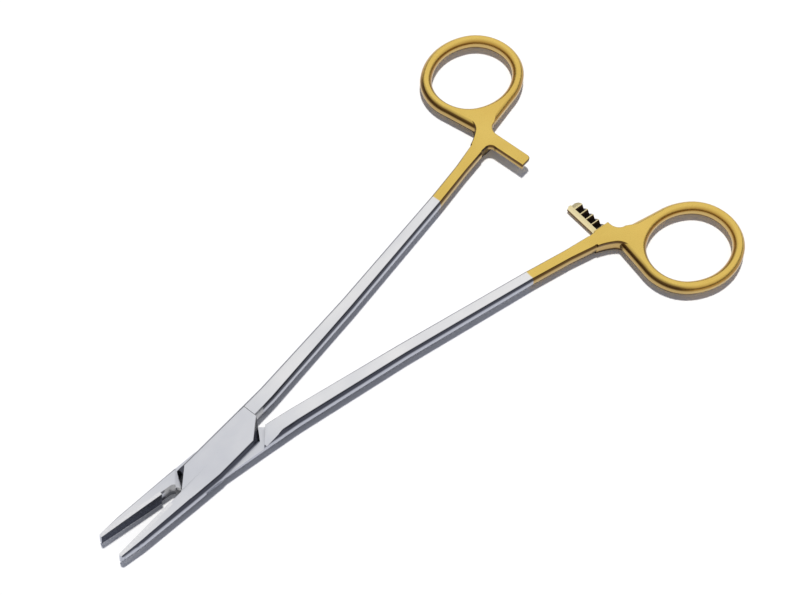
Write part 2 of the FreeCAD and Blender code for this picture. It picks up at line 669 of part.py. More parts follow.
def make_box_half():
    """Half with the box: two plates with a slot between them for the other half's tongue."""
    side = BOX_HALF_SIDE
    body = forge_half("box_half", side)
    trim_ends(
        body, side, "sizes.box_rear", "sizes.box_rear_corner", "sizes.box_front", "sizes.box_front_corner"
    )
    seat_insert(body, side, "sizes.box_jaw_relief")

    slot = new_sketch(body, "slot_plan", "XY_Plane")
    rear_wall = slanted("sizes.box_rear", "sizes.slot_rear_mouth", PAST)
    front_wall = slanted("sizes.box_front", "sizes.slot_front_mouth", PAST)
    draw_outline(slot, (
        ("-sizes.box_rear", f"{-side * PAST}"),
        ("-sizes.box_rear", "0"),
        (f"-({rear_wall})", f"{side * PAST}"),
        ("sizes.box_front", f"{side * PAST}"),
        ("sizes.box_front", "0"),
        (front_wall, f"{-side * PAST}"),
    ))
    add_pocket(body, "slot", slot, "sizes.slot_height", midplane=True)

    rear = (("-sizes.box_rear", "0"), ("-sizes.box_rear_facet", f"{-side} * sizes.box_half_width"))
    front = (("sizes.box_front", "0"), ("sizes.box_front_facet", f"{side} * sizes.box_half_width"))
    bevels = [
        bevel(
            body, name, start, end, "sizes.box_thickness / 2", "sizes.box_facet_slope",
            "0", "2 * sizes.box_half_width + 4", "sizes.box_half_width",
        )
        for name, (start, end) in (("rear_bevel", rear), ("front_bevel", front))
    ]
    add_mirror_copies(body, "lower_bevels", bevels)
    turn_about_hinge(body, "Groove", "pin_hole")
    return body


def make_lock_half():
    """Half with the tongue that passes through the box."""
    side = LOCK_HALF_SIDE
    body = forge_half("lock_half", side)
    play = "sizes.end_clearance"
    trim_ends(
        body, side,
        f"sizes.box_rear - {play}", f"sizes.slot_rear_mouth - {play}",
        f"sizes.box_front - {play}", f"sizes.slot_front_mouth - {play}",
    )
    seat_insert(body, side, "sizes.lock_jaw_relief")

    rear, rear_corner = f"sizes.box_rear + {play}", f"sizes.box_rear_corner + {play}"
    front, front_corner = f"sizes.box_front + {play}", f"sizes.box_front_corner + {play}"
    rebate = new_sketch(
        body, "rebate_plan", "XY_Plane", {"z": "sizes.slot_height / 2 - sizes.tongue_clearance"}
    )
    draw_outline(rebate, (
        (f"-({slanted(rear, rear_corner, PAST)})", f"{side * PAST}"),
        (f"-({slanted(rear, rear_corner, -PAST)})", f"{-side * PAST}"),
        (slanted(front, front_corner, PAST), f"{-side * PAST}"),
        (slanted(front, front_corner, -PAST), f"{side * PAST}"),
    ))
    upper = add_pocket(body, "upper_rebate", rebate, "sizes.box_thickness", upward=True)

    crease = (
        ("-sizes.shoulder_facet_outer", f"{side} * (sizes.box_half_width - 0.3)"),
        ("-sizes.shoulder_facet_inner", f"{side} * 0.25"),
    )
    facet = bevel(
        body, "shoulder_bevel", *crease, "sizes.box_thickness / 2 - 0.04", "sizes.shoulder_facet_slope",
        "3", "6", "sizes.shoulder_facet_length",
    )
    add_mirror_copies(body, "lower_cuts", [upper, facet])

    bore = new_sketch(body, "bore_plan", "XY_Plane")
    circle = Part.Circle(FreeCAD.Vector(), FreeCAD.Vector(0, 0, 1), number("sizes.pin_diameter / 2"))
    bore.addGeometry(circle)
    bore.addConstraint(Sketcher.Constraint("Coincident", 0, 3, -1, 1))
    bind(bore, "Radius", (0,), "sizes.pin_diameter / 2 + sizes.pin_clearance")
    add_pocket(body, "pin_bore", bore, "2 * sizes.box_thickness", midplane=True)
    return body


def make_hinge_pin():
    """Rivet that joins the halves, ground flush with the box."""
    body = new_body("hinge_pin", 0)
    turn_about_hinge(body, "Revolution", "rivet")
    return body


def make_insert(name, side):
    """Hard gripping insert brazed into a jaw, flush with it all round."""
    body = new_body(name, -side)
    sections = jaw_sections(body, side, "sizes.grip_gap", "sizes.insert_thickness", rounded=False)
    add_loft(body, "blank", sections)
    cut_plan(body, "rear_face", (
        (f"sizes.jaw_start - {PAST}", f"{-PAST}"),
        ("sizes.insert_start", f"{-PAST}"),
        ("sizes.insert_start", f"{PAST}"),
        (f"sizes.jaw_start - {PAST}", f"{PAST}"),
    ))
    round_tip(body, side)
    return body


pieces = [
    make_box_half(),
    make_lock_half(),
    make_hinge_pin(),
    make_insert("box_jaw_insert", BOX_HALF_SIDE),
    make_insert("lock_jaw_insert", LOCK_HALF_SIDE),
]
doc.recompute()

for thing in doc.Objects:
    if {"Invalid", "Error"} & set(thing.State):
        raise RuntimeError(f"{thing.Label}: {thing.State}")
for piece in pieces:
    if piece.Shape.isNull() or not piece.Shape.isValid():
        raise RuntimeError(f"{piece.Label} has no valid shape")
    if len(piece.Shape.Solids) != 1:
        raise RuntimeError(f"{piece.Label} is not one solid")

os.makedirs("parts", exist_ok=True)
for piece in pieces:
    piece.Shape.exportStep(f"parts/{piece.Label}.step")
    box = piece.Shape.BoundBox
    print(f"{piece.Label}: {piece.Shape.Volume:.1f} mm3, x {box.XMin:.1f} to {box.XMax:.1f}, "
          f"y {box.YMin:.1f} to {box.YMax:.1f}, z {box.ZMin:.2f} to {box.ZMax:.2f}")
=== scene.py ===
"""Studio scene of a surgical needle holder with gold plated rings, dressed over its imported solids."""

import json
import logging
import math
from dataclasses import dataclass
from enum import Enum

import bmesh
import bpy
from mathutils import Matrix, Vector

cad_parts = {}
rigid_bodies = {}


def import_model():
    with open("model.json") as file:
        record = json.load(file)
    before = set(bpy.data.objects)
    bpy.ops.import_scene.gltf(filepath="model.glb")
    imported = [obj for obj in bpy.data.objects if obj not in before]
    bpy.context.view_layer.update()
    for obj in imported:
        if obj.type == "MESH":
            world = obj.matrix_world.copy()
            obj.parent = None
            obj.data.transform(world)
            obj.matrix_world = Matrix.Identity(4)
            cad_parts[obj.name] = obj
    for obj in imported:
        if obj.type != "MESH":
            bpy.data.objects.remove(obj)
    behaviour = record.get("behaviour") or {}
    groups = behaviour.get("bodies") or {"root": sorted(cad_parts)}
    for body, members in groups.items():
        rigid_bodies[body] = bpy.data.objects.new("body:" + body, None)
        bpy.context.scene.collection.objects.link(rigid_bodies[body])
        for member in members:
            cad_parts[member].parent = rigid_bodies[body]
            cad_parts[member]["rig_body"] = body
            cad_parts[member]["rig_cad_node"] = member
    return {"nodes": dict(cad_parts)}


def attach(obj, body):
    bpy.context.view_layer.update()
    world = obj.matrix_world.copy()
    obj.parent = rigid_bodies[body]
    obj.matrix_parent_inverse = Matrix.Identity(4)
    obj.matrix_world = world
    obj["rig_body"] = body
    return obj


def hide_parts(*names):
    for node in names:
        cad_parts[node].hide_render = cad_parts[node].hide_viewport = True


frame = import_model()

Triple = tuple[float, float, float]
Pair = tuple[float, float]
Socket = bpy.types.NodeSocket

LOG = logging.getLogger("needle_holder")
MM = 0.001
HALF_OPENING = math.radians(5.24)
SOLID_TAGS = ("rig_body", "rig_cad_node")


class HalfSide(Enum):
    """Which way a half is turned about the hinge as the holder lies half open."""

    BOX = 1.0
    LOCK = -1.0

    @property
    def opening(self) -> float:
        """Return how far the half is turned from the closed holder, in radians."""
        return self.value * HALF_OPENING


@dataclass(frozen=True)
class MetalLook:
    """Colours of one metal finish, by the slope of the surface.

    The flats are ground to a satin. The rounded sides carry painted reflection, darker than the flats,
    with a painted dark band deepest where they turn into the flats. turn_span holds the slopes at
    which the painted dark band starts, is full, starts to fade and has become a flat.
    """

    flat_colour: Triple
    # Colour of cloudy wear; on bare steel it also carries the painted shade round the box.
    wear_and_shade_colour: Triple
    dark_reflection_colour: Triple
    side_reflection_colour: Triple
    turn_span: tuple[float, float, float, float]


# The side and turn colours of each look are painted reflection, the turn a painted dark band.
SATIN_STEEL = MetalLook(
    flat_colour=(0.79, 0.785, 0.79),
    wear_and_shade_colour=(0.54, 0.555, 0.61),
    dark_reflection_colour=(0.055, 0.058, 0.075),
    side_reflection_colour=(0.42, 0.435, 0.49),
    turn_span=(0.24, 0.40, 0.70, 0.93),
)
GOLD_PLATING = MetalLook(
    flat_colour=(0.74, 0.53, 0.135),
    wear_and_shade_colour=(0.64, 0.44, 0.10),
    dark_reflection_colour=(0.10, 0.052, 0.014),
    side_reflection_colour=(0.46, 0.32, 0.12),
    turn_span=(0.22, 0.38, 0.66, 0.90),
)
RING_PLATING = MetalLook(
    flat_colour=(0.74, 0.52, 0.13),
    wear_and_shade_colour=(0.66, 0.44, 0.10),
    dark_reflection_colour=(0.36, 0.19, 0.035),
    side_reflection_colour=(0.52, 0.37, 0.14),
    turn_span=(0.20, 0.42, 0.56, 0.90),
)


class NodeSheet:
    """Node tree of a material or a world, with short helpers to place and link its nodes."""

    def __init__(self, owner: bpy.types.ID) -> None:
        """Start the owner's node tree afresh.

        Args:
            owner: Material or world.
        """
        owner.use_nodes = True
        self.nodes = owner.node_tree.nodes
        self.links = owner.node_tree.links
        self.nodes.clear()

    def node(self, kind: str, **settings: object) -> bpy.types.Node:
        """Add a node and set its properties.

        Args:
            kind: Blender's name of the node type.
            **settings: Property names and values.

        Returns:
            The new node.
        """
        node = self.nodes.new(kind)
        for name, value in settings.items():
            setattr(node, name, value)
        return node

    def feed(self, socket: Socket, source: object) -> None:
        """Link a socket to another, or give it a plain value.

        Args:
            socket: Input socket.
            source: Output socket, number or tuple.
        """
        if isinstance(source, Socket):
            self.links.new(source, socket)
        else:
            socket.default_value = source

    def surface(self, shader: Socket, output: str = "ShaderNodeOutputMaterial") -> None:
        """Link a shader to the tree's output.

        Args:
            shader: Shader's socket.
            output: Blender's name of the output node.
        """
        self.feed(self.node(output).inputs["Surface"], shader)

    def arithmetic(self, operation: str, first: object, second: object = 0.0) -> Socket:
        """Combine two values.

        Args:
            operation: Name of the Math node's operation.
            first: First value or socket.
            second: Second value or socket.

        Returns:
            The result's socket.
        """
        node = self.node("ShaderNodeMath", operation=operation)
        self.feed(node.inputs[0], first)
        self.feed(node.inputs[1], second)
        return node.outputs[0]

    def background_rays(self) -> Socket:
        """Tell the rays that see the background, straight or in metal and glass.

        Returns:
            Socket that is 1 for these rays.
        """
        path = self.node("ShaderNodeLightPath")
        total = path.outputs["Is Camera Ray"]
        for name in ("Is Glossy Ray", "Is Transmission Ray"):
            total = self.arithmetic("MAXIMUM", total, path.outputs[name])
        return total


class MetalSheet(NodeSheet):
    """Node tree of one metal, with the place and the facing of its surface at hand.

    spot and place are the point on the closed holder, in metres, as one socket and as its X, Y
    and Z. facing is the surface normal on the piece, as X, Y and Z.
    """

    def __init__(self, name: str, side: HalfSide) -> None:
        """Start the metal's material.

        Args:
            name: Name of the material.
            side: Half that the piece is turned with.
        """
        self.material = bpy.data.materials.new(name)
        super().__init__(self.material)
        self.shader = self.node("ShaderNodeBsdfPrincipled")
        self.feed(self.shader.inputs["Metallic"], 1.0)
        self.surface(self.shader.outputs["BSDF"])
        piece = self.node("ShaderNodeTexCoord")
        closed = self.node("ShaderNodeMapping")
        self.feed(closed.inputs["Vector"], piece.outputs["Object"])
        self.feed(closed.inputs["Rotation"], (0.0, 0.0, -side.opening))
        self.spot = closed.outputs["Vector"]
        self.place = self.split(self.spot)
        self.facing = self.split(piece.outputs["Normal"])

    def split(self, vector: Socket) -> tuple[Socket, ...]:
        """Part a vector into its three numbers.

        Args:
            vector: Vector's socket.

        Returns:
            Its X, Y and Z sockets.
        """
        node = self.node("ShaderNodeSeparateXYZ")
        self.feed(node.inputs[0], vector)
        return tuple(node.outputs)

    def product(self, first: Socket, *others: Socket) -> Socket:
        """Multiply two or more values.

        Args:
            first: First value's socket.
            *others: Sockets of the other values.

        Returns:
            The product's socket.
        """
        total = first
        for other in others:
            total = self.arithmetic("MULTIPLY", total, other)
        return total

    def spread(self, value: object, low: object, high: object,
               out_low: object = 0.0, out_high: object = 1.0) -> Socket:
        """Map a value from one range to another, clamped.

        Args:
            value: Value or socket.
            low: Value that gives out_low.
            high: Value that gives out_high.
            out_low: Result at low.
            out_high: Result at high.

        Returns:
            The result's socket.
        """
        node = self.node("ShaderNodeMapRange")
        for socket, source in zip(node.inputs, (value, low, high, out_low, out_high)):
            self.feed(socket, source)
        return node.outputs[0]

    def within(self, value: Socket, span: Pair, soft: float) -> Socket:
        """Tell where a value lies between two bounds.

        Args:
            value: Value's socket.
            span: Lower and upper bound.
            soft: Width over which the answer fades.

        Returns:
            Socket that is 1 inside and 0 outside.
        """
        low, high = span
        above = self.spread(value, low - soft, low + soft)
        below = self.spread(value, high - soft, high + soft, 1.0, 0.0)
        return self.product(above, below)

    def blend(self, factor: object, first: object, second: object) -> Socket:
        """Blend two colours.

        Args:
            factor: Share of the second colour.
            first: First colour or socket.
            second: Second colour or socket.

        Returns:
            The colour's socket.
        """
        node = self.node("ShaderNodeMix", data_type="RGBA")
        self.feed(node.inputs["Factor"], factor)
        for name, source in (("A", first), ("B", second)):
            socket = next(s for s in node.inputs if s.name == name and s.type == "RGBA")
            self.feed(socket, source if isinstance(source, Socket) else (*source, 1.0))
        return next(s for s in node.outputs if s.type == "RGBA")

    def noise(self, scale: float, stretch: Triple = (1.0, 1.0, 1.0), octaves: float = 3.0) -> Socket:
        """Lay noise over the closed holder.

        Args:
            scale: Scale of the noise, per metre.
            stretch: Scale of each axis.
            octaves: Octaves of the noise.

        Returns:
            The noise value's socket.
        """
        mapping = self.node("ShaderNodeMapping")
        self.feed(mapping.inputs["Vector"], self.spot)
        self.feed(mapping.inputs["Scale"], stretch)
        texture = self.node("ShaderNodeTexNoise")
        self.feed(texture.inputs["Vector"], mapping.outputs["Vector"])
        self.feed(texture.inputs["Scale"], scale)
        self.feed(texture.inputs["Detail"], octaves)
        return texture.outputs["Fac"]

    def ramp(self, factor: Socket, stops: tuple[tuple[float, Triple], ...]) -> Socket:
        """Turn a value into a colour.

        Args:
            factor: Value's socket.
            stops: Places and their colours, in order.

        Returns:
            The colour's socket.
        """
        node = self.node("ShaderNodeValToRGB")
        elements = node.color_ramp.elements
        while len(elements) < len(stops):
            elements.new(stops[len(elements)][0])
        for element, (position, colour) in zip(elements, stops):
            element.position = position
            element.color = (*colour, 1.0)
        self.feed(node.inputs["Fac"], factor)
        return node.outputs["Color"]

    def metal_colour(self, look: MetalLook, slope: Socket, wear: Socket) -> Socket:
        """Colour a metal by the slope and the wear of its surface, with painted reflection on the sides.

        Args:
            look: The metal.
            slope: 0 on a side and 1 on a flat.
            wear: Share of the colour of wear and painted shade on the flats.

        Returns:
            The colour's socket.
        """
        rise, full, fade, flat = look.turn_span
        # Painted reflection by slope: side colour, then the painted dark band, then the flat colour.
        base = self.ramp(slope, (
            (0.0, look.side_reflection_colour), (rise, look.side_reflection_colour), (full, look.dark_reflection_colour),
            (fade, look.dark_reflection_colour), (flat, look.flat_colour)))
        on_flats = self.spread(slope, fade, flat)
        return self.blend(self.product(wear, on_flats), base, look.wear_and_shade_colour)

    def bump(self, height: Socket, strength: float, distance: float) -> None:
        """Raise the surface by a height pattern.

        Args:
            height: Pattern's socket.
            strength: Share of the effect.
            distance: Height of the pattern, in metres.
        """
        node = self.node("ShaderNodeBump")
        self.feed(node.inputs["Height"], height)
        self.feed(node.inputs["Strength"], strength)
        self.feed(node.inputs["Distance"], distance)
        self.feed(self.shader.inputs["Normal"], node.outputs["Normal"])


@dataclass(frozen=True)
class GrindingMarks:
    """Marks of grinding and use on the forgings and the rivet: cloudy wear and fine streaks, with painted
    shade round the box.
    """

    cloud_scale: float = 55.0
    cloud_stretch: Triple = (1.0, 1.6, 1.6)
    cloud_span: Pair = (0.38, 0.68)
    steel_wear: float = 0.35
    gold_wear: float = 0.6
    # Painted shade round the box, as a share of the darker colour.
    box_shade: float = 0.62
    streak_scale: float = 700.0
    streak_stretch: Triple = (1.0, 9.0, 9.0)
    streak_span: Pair = (0.3, 0.7)
    streak_gloss: Pair = (-0.04, 0.05)
    streak_relief: float = 0.35
    streak_depth: float = 0.003 * MM

    def wear(self, sheet: MetalSheet, most: float) -> Socket:
        """Spread cloudy wear over the metal.

        Args:
            sheet: The material.
            most: Share of wear where it is deepest.

        Returns:
            Socket of the share.
        """
        cloud = sheet.noise(self.cloud_scale, self.cloud_stretch)
        return sheet.spread(cloud, *self.cloud_span, 0.0, most)

    def streak(self, sheet: MetalSheet, roughness: object) -> None:
        """Give the metal its roughness, with the streaks of grinding in it.

        Args:
            sheet: The material.
            roughness: Roughness without the streaks, as a number or socket.
        """
        streaks = sheet.noise(self.streak_scale, self.streak_stretch)
        uneven = sheet.spread(streaks, *self.streak_span, *self.streak_gloss)
        sheet.feed(sheet.shader.inputs["Roughness"], sheet.arithmetic("ADD", roughness, uneven))
        sheet.bump(streaks, self.streak_relief, self.streak_depth)


MARKS = GrindingMarks()


@dataclass(frozen=True)
class ForgingFinish:
    """Finish of a forged half: satin steel, gold plated from the lower shank over the ring.

    Places are on the closed holder. Slopes are 0 on a side and 1 on a flat, and each roughness
    is given for a side and for a flat.
    """

    side: HalfSide
    plating_edge: float = -103.6 * MM
    edge_fade: float = 0.2 * MM
    edge_wander: float = 0.2 * MM
    wander_scale: float = 900.0
    wander_octaves: float = 2.0
    ring_start: float = -134.0 * MM
    ring_fade: float = 4.0 * MM
    box_span: Pair = (-24.0 * MM, 20.0 * MM)
    box_fade: float = 9.0 * MM
    pocket_x: Pair = (-20.0 * MM, 14.5 * MM)
    pocket_y: Pair = (-2.7 * MM, 2.7 * MM)
    pocket_fade: float = 0.3 * MM
    pocket_slope: Pair = (0.85, 0.97)
    # Painted shade in the pockets at the ends of the box.
    pocket_shade_colour: Triple = (0.34, 0.345, 0.36)
    # wall_turn and wall_slope, measured from middle_z, lay the painted reflection bands on upright walls by
    # height.
    middle_z: float = 2.75 * MM
    wall_turn: float = 2.2 * MM
    wall_slope: float = 0.64
    gloss_slope: Pair = (0.7, 0.97)
    steel_roughness: Pair = (0.24, 0.34)
    gold_roughness: Pair = (0.22, 0.30)
    ratchet_x: Pair = (-134.3 * MM, -129.7 * MM)
    ratchet_y: Pair = (-7.7 * MM, 3.3 * MM)
    ratchet_z: Pair = (1.3 * MM, 4.2 * MM)
    ratchet_fades: Triple = (0.05 * MM, 0.2 * MM, 0.1 * MM)
    groove_slope: Pair = (0.35, 0.93)
    groove_slope_fade: float = 0.04
    crest_depth: float = 0.26 * MM
    crest_fade: float = 0.05 * MM
    tip_start: float = 1.5 * MM
    tip_fade: float = 0.1 * MM
    # Painted highlight on the ratchet's crests and painted shade in its grooves.
    crest_colour: Triple = (0.76, 0.66, 0.38)
    groove_shade_colour: Triple = (0.05, 0.036, 0.030)

    def off_middle(self, sheet: MetalSheet) -> Socket:
        """Return the height of the surface above or below the holder's middle."""
        return sheet.arithmetic("ABSOLUTE", sheet.arithmetic("SUBTRACT", sheet.place[2], self.middle_z))

    def slope(self, sheet: MetalSheet) -> Socket:
        """Tell how flat the surface lies.

        An upright wall has one slope all over, so on it the height off the middle is used instead, which
        lays the painted reflection bands on it by height.

        Args:
            sheet: The material.

        Returns:
            Socket that is 0 on a side and 1 on a flat.
        """
        upright = sheet.arithmetic("ABSOLUTE", sheet.facing[2])
        on_wall = sheet.spread(self.off_middle(sheet), 0.0, self.wall_turn, 0.0, self.wall_slope)
        return sheet.arithmetic("MAXIMUM", upright, on_wall)

    def plated(self, sheet: MetalSheet) -> Socket:
        """Tell where the gold plating lies, with a slightly uneven edge across the shank.

        Args:
            sheet: The material.

        Returns:
            Socket that is 1 on the plating.
        """
        wander = sheet.noise(self.wander_scale, octaves=self.wander_octaves)
        shift = sheet.spread(wander, 0.0, 1.0, -self.edge_wander, self.edge_wander)
        reach = sheet.arithmetic("ADD", sheet.place[0], shift)
        return sheet.spread(
            reach, self.plating_edge - self.edge_fade, self.plating_edge + self.edge_fade, 1.0, 0.0)

    def steel(self, sheet: MetalSheet, slope: Socket) -> Socket:
        """Colour the bare steel, worn in clouds, with painted shade round the box and in the pockets at its
        ends.

        Args:
            sheet: The material.
            slope: 0 on a side and 1 on a flat.

        Returns:
            The colour's socket.
        """
        # Painted shade round the box, added to the cloudy wear.
        box_shade_mask = sheet.within(sheet.place[0], self.box_span, self.box_fade)
        wear = sheet.arithmetic(
            "ADD", MARKS.wear(sheet, MARKS.steel_wear), sheet.arithmetic("MULTIPLY", box_shade_mask, MARKS.box_shade))
        # Painted shade in the pockets at the box's ends.
        pocket_shade_mask = sheet.product(
            sheet.within(sheet.place[0], self.pocket_x, self.pocket_fade),
            sheet.within(sheet.place[1], self.pocket_y, self.pocket_fade),
            sheet.spread(slope, *self.pocket_slope, 1.0, 0.0))
        return sheet.blend(pocket_shade_mask, sheet.metal_colour(SATIN_STEEL, slope, wear), self.pocket_shade_colour)

    def gold(self, sheet: MetalSheet, slope: Socket) -> Socket:
        """Colour the plating, whose painted dark band in the turns is paler on the ring than on the shank.

        Args:
            sheet: The material.
            slope: 0 on a side and 1 on a flat.

        Returns:
            The colour's socket.
        """
        wear = MARKS.wear(sheet, MARKS.gold_wear)
        in_ring = sheet.spread(sheet.place[0], self.ring_start - self.ring_fade, self.ring_start, 1.0, 0.0)
        on_shank = sheet.metal_colour(GOLD_PLATING, slope, wear)
        return sheet.blend(in_ring, on_shank, sheet.metal_colour(RING_PLATING, slope, wear))

    def ratchet(self, sheet: MetalSheet, colour: Socket) -> Socket:
        """Paint a highlight on the ratchet's crests and paint shade in its grooves.

        The box half's teeth look down, so only their slanted faces are coloured there.

        Args:
            sheet: The material.
            colour: Colour of the metal around it.

        Returns:
            The colour's socket.
        """
        outward = sheet.arithmetic("MULTIPLY", sheet.place[1], self.side.value)
        ends = zip((sheet.place[0], outward, sheet.place[2]),
                   (self.ratchet_x, self.ratchet_y, self.ratchet_z), self.ratchet_fades)
        zone = sheet.product(*(sheet.within(value, span, fade) for value, span, fade in ends))
        upright = sheet.arithmetic("ABSOLUTE", sheet.facing[2])
        slanted = sheet.within(upright, self.groove_slope, self.groove_slope_fade)
        deep = sheet.spread(
            self.off_middle(sheet), self.crest_depth - self.crest_fade, self.crest_depth + self.crest_fade)
        before_tip = sheet.spread(outward, self.tip_start, self.tip_start + self.tip_fade, 1.0, 0.0)
        # Painted shade in the grooves; the rest of the zone gets the painted highlight.
        groove_shade_mask = sheet.product(slanted, deep, before_tip)
        if self.side is HalfSide.BOX:
            zone = sheet.product(zone, slanted)
        return sheet.blend(zone, colour, sheet.blend(groove_shade_mask, self.crest_colour, self.groove_shade_colour))

    def roughness(self, sheet: MetalSheet, slope: Socket, plated: Socket) -> Socket:
        """Set the roughness of steel and plating.

        Args:
            sheet: The material.
            slope: 0 on a side and 1 on a flat.
            plated: 1 on the plating.

        Returns:
            The roughness's socket.
        """
        steel = sheet.spread(slope, *self.gloss_slope, *self.steel_roughness)
        gold = sheet.spread(slope, *self.gloss_slope, *self.gold_roughness)
        return sheet.spread(plated, 0.0, 1.0, steel, gold)

    def material(self, name: str) -> bpy.types.Material:
        """Make the finish.

        Args:
            name: Name of the material.

        Returns:
            The material.
        """
        sheet = MetalSheet(name, self.side)
        slope = self.slope(sheet)
        plated = self.plated(sheet)
        metal = sheet.blend(plated, self.steel(sheet, slope), self.gold(sheet, slope))
        sheet.feed(sheet.shader.inputs["Base Color"], self.ratchet(sheet, metal))
        MARKS.streak(sheet, self.roughness(sheet, slope, plated))
        return sheet.material


@dataclass(frozen=True)
class RivetFinish:
    """Finish of the hinge rivet: the steel of the box that it is ground flush with, worn in clouds, with
    painted shade.
    """

    side: HalfSide = HalfSide.BOX
    roughness: float = 0.34

    def material(self, name: str) -> bpy.types.Material:
        """Make the finish.

        Args:
            name: Name of the material.

        Returns:
            The material.
        """
        sheet = MetalSheet(name, self.side)
        # Cloudy wear plus the painted shade of the box, all over the rivet.
        wear = sheet.arithmetic("ADD", MARKS.wear(sheet, MARKS.steel_wear), MARKS.box_shade)
        colour = sheet.blend(wear, SATIN_STEEL.flat_colour, SATIN_STEEL.wear_and_shade_colour)
        sheet.feed(sheet.shader.inputs["Base Color"], colour)
        MARKS.streak(sheet, self.roughness)
        return sheet.material


@dataclass(frozen=True)
class CarbideFinish:
    """Finish of a gripping insert: dark sintered metal, ground bright where it is flush with the jaw."""

    side: HalfSide
    grip_facing: Pair = (0.5, 0.75)
    grip_colour: Triple = (0.035, 0.040, 0.060)
    crest_colour: Triple = (0.085, 0.095, 0.13)
    speckle_scale: float = 2500.0
    crest_speckle: Pair = (0.35, 0.7)
    wear_speckle: Pair = (0.3, 0.7)
    ground_wear: float = 0.5
    ground_roughness: float = 0.32
    grip_roughness: float = 0.45
    speckle_relief: float = 0.3
    speckle_depth: float = 0.004 * MM

    def material(self, name: str) -> bpy.types.Material:
        """Make the finish.

        Args:
            name: Name of the material.

        Returns:
            The material.
        """
        sheet = MetalSheet(name, self.side)
        on_grip = sheet.spread(sheet.arithmetic("ABSOLUTE", sheet.facing[1]), *self.grip_facing)
        speckle = sheet.noise(self.speckle_scale)
        crests = sheet.spread(speckle, *self.crest_speckle)
        grip = sheet.blend(crests, self.grip_colour, self.crest_colour)
        slope = sheet.arithmetic("ABSOLUTE", sheet.facing[2])
        wear = sheet.spread(speckle, *self.wear_speckle, 0.0, self.ground_wear)
        # The ground faces take the steel's colours, with its painted reflection on their sides.
        ground = sheet.metal_colour(SATIN_STEEL, slope, wear)
        sheet.feed(sheet.shader.inputs["Base Color"], sheet.blend(on_grip, ground, grip))
        roughness = sheet.spread(on_grip, 0.0, 1.0, self.ground_roughness, self.grip_roughness)
        sheet.feed(sheet.shader.inputs["Roughness"], roughness)
        sheet.bump(speckle, self.speckle_relief, self.speckle_depth)
        return sheet.material


@dataclass
class DressedPiece:
    """One solid of the holder, smoothed and dressed in its own finish."""

    node: str
    body: str
    material: bpy.types.Material
    slot: str
    merge_reach: float = 0.001 * MM
    level_angle: float = math.radians(0.4)
    crease: float = math.radians(28.0)
    large_face_weight: int = 100

    def join_level_faces(self) -> None:
        """Make one face of each flat stretch of triangles."""
        bpy.ops.mesh.select_all(action="SELECT")
        bpy.ops.mesh.dissolve_limited(angle_limit=self.level_angle)

    def shape(self, piece: bpy.types.Object) -> None:
        """Finish the merged mesh in edit mode, where a kind of piece needs it.

        Args:
            piece: The piece.
        """

    def build(self) -> bpy.types.Object:
        """Copy the solid, join its loose triangles, smooth it and dress it.

        The copy drops the solid's own tags, because it gets its own below.

        Returns:
            The finished piece, which stands for the solid.
        """
        bpy.ops.object.select_all(action="DESELECT")
        source = frame["nodes"][self.node]
        piece = source.copy()
        piece.data = source.data.copy()
        piece.name = f"{self.node}_finished"
        piece.parent = None
        for tag in SOLID_TAGS:
            if tag in piece:
                del piece[tag]
        bpy.context.scene.collection.objects.link(piece)
        piece.select_set(True)
        bpy.context.view_layer.objects.active = piece
        bpy.ops.object.mode_set(mode="EDIT")
        bpy.ops.mesh.select_all(action="SELECT")
        bpy.ops.mesh.remove_doubles(threshold=self.merge_reach)
        self.shape(piece)
        bpy.ops.object.mode_set(mode="OBJECT")
        if piece.data.has_custom_normals:
            bpy.ops.mesh.customdata_custom_splitnormals_clear()
        bpy.ops.object.shade_smooth_by_angle(angle=self.crease)
        bpy.ops.object.modifier_add(type="WEIGHTED_NORMAL")
        weighting = piece.modifiers[-1]
        weighting.keep_sharp = True
        weighting.weight = self.large_face_weight
        bpy.ops.object.modifier_apply(modifier=weighting.name)
        piece.data.materials.clear()
        piece.data.materials.append(self.material)
        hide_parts(self.node)
        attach(piece, self.body)
        piece.select_set(False)
        return piece


